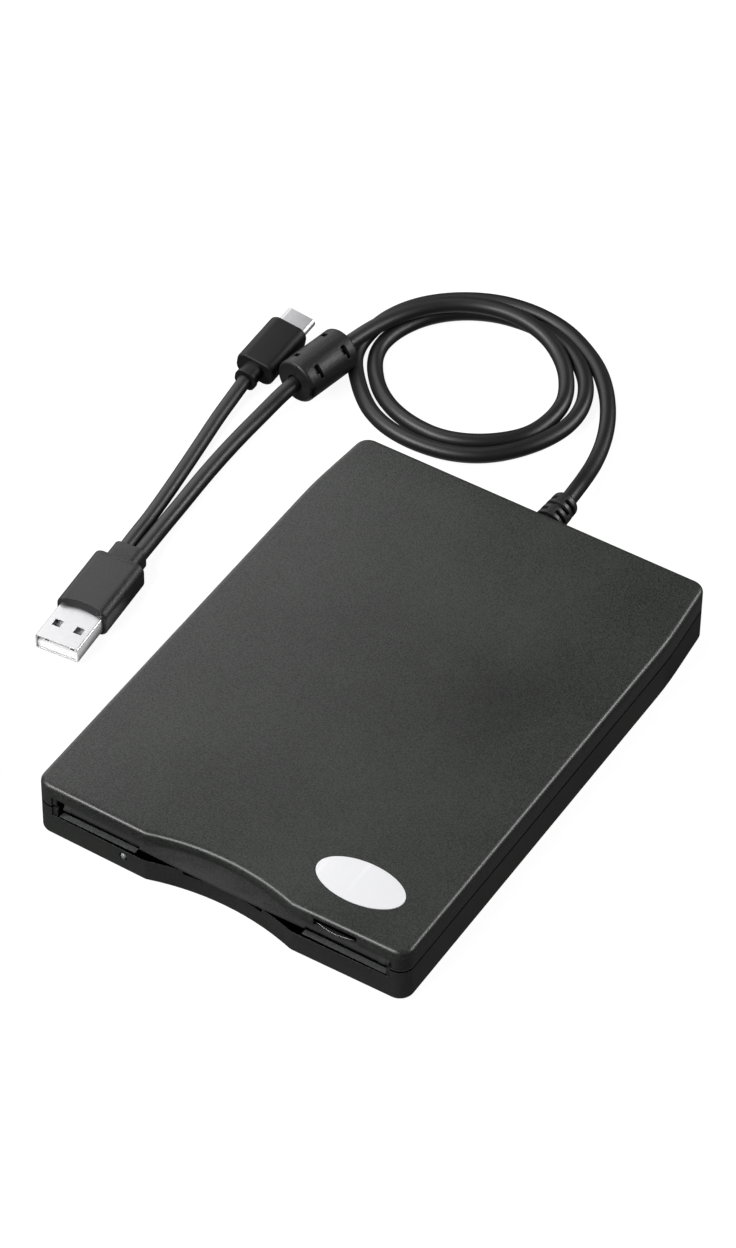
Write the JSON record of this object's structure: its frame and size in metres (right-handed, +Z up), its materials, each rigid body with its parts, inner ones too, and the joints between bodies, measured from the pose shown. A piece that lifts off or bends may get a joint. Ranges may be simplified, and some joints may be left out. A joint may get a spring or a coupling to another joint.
{
  "type": "external USB floppy disk drive",
  "caption": "Slim desktop floppy disk drive in a grained dark case with a slotted front, finger grip, eject button and a coiled USB lead that ends in two plugs.",
  "frame": {"origin": "on the surface that the feet stand on, under the middle of the case", "axes": "+X to the right seen from the front, +Y from the slotted front to the back, +Z up"},
  "size_m": [0.151, 0.2218, 0.0176],
  "materials": {
    "top_cover": null,
    "bottom_cover": null,
    "oval_badge": null,
    "rubber_feet": null,
    "case_screws": null,
    "activity_lamp": null,
    "slot_strip_left": null,
    "slot_strip_right": null,
    "drive_chassis": null,
    "chassis_screws": null,
    "drive_top_shield": null,
    "motor_board": null,
    "spindle_bearing": null,
    "stator_core": null,
    "stator_coils": null,
    "guide_rods": null,
    "stepping_motor": null,
    "track_zero_sensor": null,
    "switch_housings": null,
    "logic_board": null,
    "logic_chips": null,
    "usb_board": null,
    "usb_chips": null,
    "drive_ribbon": null,
    "inner_lead": null,
    "eject_spring": null,
    "cable_gland": null,
    "cord_exit_run": null,
    "cord_main_run": null,
    "cord_branch": null,
    "cord_coil": null,
    "ferrite_case_right": null,
    "ferrite_case_left": null,
    "ferrite_core": null,
    "usb_a_overmould": null,
    "usb_a_shell": null,
    "usb_a_tongue": null,
    "usb_a_contacts": null,
    "usb_c_overmould": null,
    "usb_c_shell": null,
    "usb_c_insert": null,
    "eject_button": null,
    "eject_slider": null,
    "disk_holder": null,
    "shutter_lever": null,
    "spindle_rotor": null,
    "rotor_magnet": null,
    "hub_magnet": null,
    "drive_pin": null,
    "spindle_shaft": null,
    "lead_screw": null,
    "head_carriage": null,
    "lower_head": null,
    "upper_head_arm": null,
    "upper_head": null,
    "write_protect_plunger": null,
    "density_plunger": null,
    "disk_present_plunger": null
  },
  "bodies": {
    "case": {"top_cover": "top_cover", "bottom_cover": "bottom_cover", "oval_badge": "oval_badge", "rubber_feet": "rubber_feet", "case_screws": "case_screws", "activity_lamp": "activity_lamp", "slot_strip_left": "slot_strip_left", "slot_strip_right": "slot_strip_right", "drive_chassis": "drive_chassis", "chassis_screws": "chassis_screws", "drive_top_shield": "drive_top_shield", "motor_board": "motor_board", "spindle_bearing": "spindle_bearing", "stator_core": "stator_core", "stator_coils": "stator_coils", "guide_rods": "guide_rods", "stepping_motor": "stepping_motor", "track_zero_sensor": "track_zero_sensor", "switch_housings": "switch_housings", "logic_board": "logic_board", "logic_chips": "logic_chips", "usb_board": "usb_board", "usb_chips": "usb_chips", "drive_ribbon": "drive_ribbon", "inner_lead": "inner_lead", "eject_spring": "eject_spring", "cable_gland": "cable_gland", "cord_exit_run": "cord_exit_run", "cord_main_run": "cord_main_run", "cord_branch": "cord_branch", "cord_coil": "cord_coil", "ferrite_case_right": "ferrite_case_right", "ferrite_case_left": "ferrite_case_left", "ferrite_core": "ferrite_core", "usb_a_overmould": "usb_a_overmould", "usb_a_shell": "usb_a_shell", "usb_a_tongue": "usb_a_tongue", "usb_a_contacts": "usb_a_contacts", "usb_c_overmould": "usb_c_overmould", "usb_c_shell": "usb_c_shell", "usb_c_insert": "usb_c_insert"},
    "ejector": {"eject_button": "eject_button", "eject_slider": "eject_slider"},
    "holder": {"disk_holder": "disk_holder"},
    "shutter_opener": {"shutter_lever": "shutter_lever"},
    "spindle": {"spindle_rotor": "spindle_rotor", "rotor_magnet": "rotor_magnet", "hub_magnet": "hub_magnet", "drive_pin": "drive_pin", "spindle_shaft": "spindle_shaft"},
    "seek_screw": {"lead_screw": "lead_screw"},
    "carriage": {"head_carriage": "head_carriage", "lower_head": "lower_head"},
    "load_arm": {"upper_head_arm": "upper_head_arm", "upper_head": "upper_head"},
    "write_protect_switch": {"write_protect_plunger": "write_protect_plunger"},
    "density_switch": {"density_plunger": "density_plunger"},
    "disk_switch": {"disk_present_plunger": "disk_present_plunger"}
  },
  "joints": [
    {"name": "eject_slide", "type": "slide", "parent": "case", "child": "ejector", "axis": [0, -1, 0], "range_m": [-0.0006, 0.0035], "stiffness_N_per_m": 200, "deforming": ["eject_spring"]},
    {"name": "holder_lift", "type": "slide", "parent": "case", "child": "holder", "axis": [0, 0, -1], "range_m": [-0.00026, 0.0015]},
    {"name": "lever_swing", "type": "hinge", "parent": "holder", "child": "shutter_opener", "pos_m": [0.036, 0.014, 0.0124], "axis": [0, 0, -1], "range_deg": [0, 85], "stiffness_Nm_per_rad": 0.003},
    {"name": "spindle_spin", "type": "hinge", "parent": "case", "child": "spindle", "pos_m": [0, -0.02355, 0.005], "axis": [0, 0, 1], "continuous": true},
    {"name": "head_seek", "type": "slide", "parent": "case", "child": "carriage", "axis": [0, -1, 0], "range_m": [0, 0.0148]},
    {"name": "seek_screw_turn", "type": "hinge", "parent": "case", "child": "seek_screw", "pos_m": [0.0145, 0.04, 0.0084], "axis": [0, 1, 0], "range_deg": [0, 1421]},
    {"name": "head_load", "type": "hinge", "parent": "carriage", "child": "load_arm", "pos_m": [0, 0.04285, 0.011], "axis": [1, 0, 0], "range_deg": [-1.2, 6.8]},
    {"name": "write_protect_press", "type": "slide", "parent": "case", "child": "write_protect_switch", "axis": [0, 0, -1], "range_m": [0, 0.00085], "stiffness_N_per_m": 120},
    {"name": "density_press", "type": "slide", "parent": "case", "child": "density_switch", "axis": [0, 0, -1], "range_m": [0, 0.00085], "stiffness_N_per_m": 120},
    {"name": "disk_present_press", "type": "slide", "parent": "case", "child": "disk_switch", "axis": [0, 0, -1], "range_m": [0, 0.00085], "stiffness_N_per_m": 120}
  ],
  "couplings": [
    {"joint": "holder_lift", "follows": "eject_slide", "ratio": 0.42857},
    {"joint": "head_load", "follows": "eject_slide", "rad_per_m": 33.909},
    {"joint": "seek_screw_turn", "follows": "head_seek", "rad_per_m": 1675.5}
  ]
}
